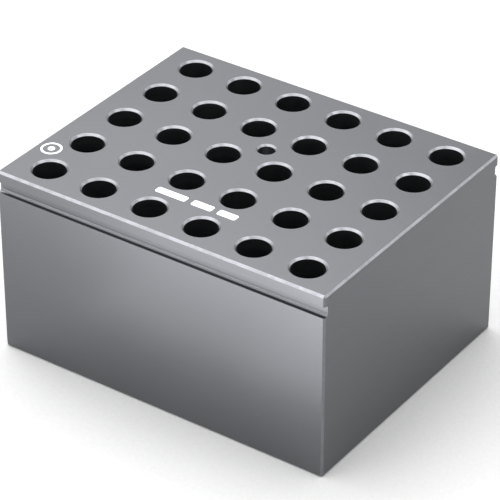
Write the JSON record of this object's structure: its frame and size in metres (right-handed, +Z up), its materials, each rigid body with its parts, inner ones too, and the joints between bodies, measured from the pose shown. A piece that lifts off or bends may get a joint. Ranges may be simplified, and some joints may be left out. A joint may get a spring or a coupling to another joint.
{
  "type": "dry bath heating block insert",
  "caption": "Anodised aluminium heating block insert with a grid of round blind tube wells, a tapped lifting hole and a locating groove along each long side.",
  "frame": {"origin": "bottom centre of the block", "axes": "+Z up out of the wells, X along the long side, Y along the short side; the printed label reads from the -Y side and the lifting hole is offset towards +Y"},
  "size_m": [0.095, 0.076, 0.0511],
  "materials": {
    "anodised_aluminium": "satin clear to grey anodised, fine milled grain",
    "white_ink": "matt printed ink"
  },
  "bodies": {
    "root": {"tube_block": "anodised_aluminium", "label_bar_long": "white_ink", "label_bar_middle": "white_ink", "label_bar_short": "white_ink", "corner_mark_ring": "white_ink", "corner_mark_dot": "white_ink"}
  },
  "joints": []
}
